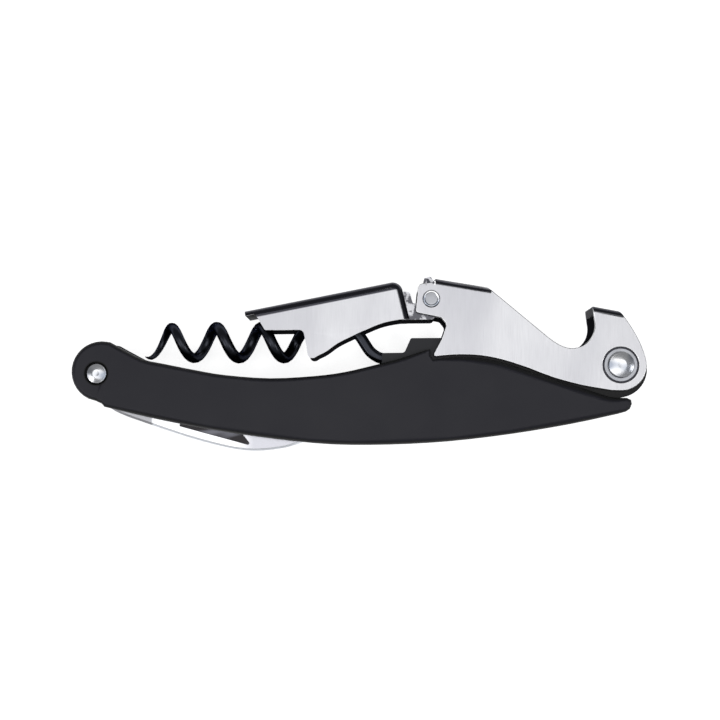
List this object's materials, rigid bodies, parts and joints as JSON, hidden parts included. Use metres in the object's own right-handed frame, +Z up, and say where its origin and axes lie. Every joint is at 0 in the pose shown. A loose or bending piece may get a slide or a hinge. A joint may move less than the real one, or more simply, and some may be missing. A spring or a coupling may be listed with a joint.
{
  "type": "waiter's corkscrew",
  "caption": "Folding waiter's corkscrew: curved handle with a two-step lever, hinged boot arm, coated worm, crown-cap notch and a foil blade that folds into the handle.",
  "frame": {"origin": "centre of the closed tool's outline on the surface that its back scale lies on", "axes": "+X along the handle from the blade's boss towards the lever pivot, +Y across the handle towards the lever and the worm, +Z up through its thickness, out of the front scale"},
  "size_m": [0.1153, 0.0353, 0.0144],
  "materials": {
    "soft_touch_black": "soft-touch rubberised coating, matt",
    "core_black": "black painted zinc die casting, satin",
    "brushed_steel": "stainless sheet, brushed across its length, bends polished",
    "polished_steel": "polished rivet heads",
    "pin_steel": "plain turned steel, pins, spacers and washers",
    "worm_coating": "black non-stick coating, glossy",
    "blade_steel": "stainless blade, ground bevel, polished flats",
    "bronze": "sintered bearing bronze, dull",
    "nylon": "natural nylon, matt"
  },
  "bodies": {
    "handle": {"handle_core": "core_black", "front_scale": "soft_touch_black", "back_scale": "soft_touch_black", "scale_dowels": "pin_steel", "pivot_bush": "bronze", "lever_shims": "nylon", "worm_pin": "pin_steel", "worm_spacers": "pin_steel", "blade_rivet": "polished_steel", "blade_washers": "bronze", "blade_spring": "pin_steel"},
    "lever": {"main_lever": "brushed_steel", "lever_rivet": "polished_steel", "lever_washers": "pin_steel", "hinge_rivet": "polished_steel", "hinge_spacer": "pin_steel"},
    "arm": {"boot_arm": "brushed_steel"},
    "screw": {"worm": "worm_coating"},
    "blade": {"foil_blade": "blade_steel"}
  },
  "joints": [
    {"name": "lever_swing", "type": "hinge", "parent": "handle", "child": "lever", "pos_m": [0.052, -0.0006, 0.0072], "axis": [0, 0, -1], "range_deg": [0, 130]},
    {"name": "arm_swing", "type": "hinge", "parent": "lever", "child": "arm", "pos_m": [0.0142, 0.0127, 0.0072], "axis": [0, 0, -1], "range_deg": [0, 75]},
    {"name": "worm_swing", "type": "hinge", "parent": "handle", "child": "screw", "pos_m": [0.0103, -0.002, 0.0072], "axis": [0, 0, -1], "range_deg": [0, 91]},
    {"name": "blade_swing", "type": "hinge", "parent": "handle", "child": "blade", "pos_m": [-0.0528, -0.0023, 0.0072], "axis": [0, 0, -1], "range_deg": [0, 160]}
  ],
  "couplings": [
    {"joint": "worm_swing", "follows": "lever_swing", "ratio": 0.7}
  ]
}
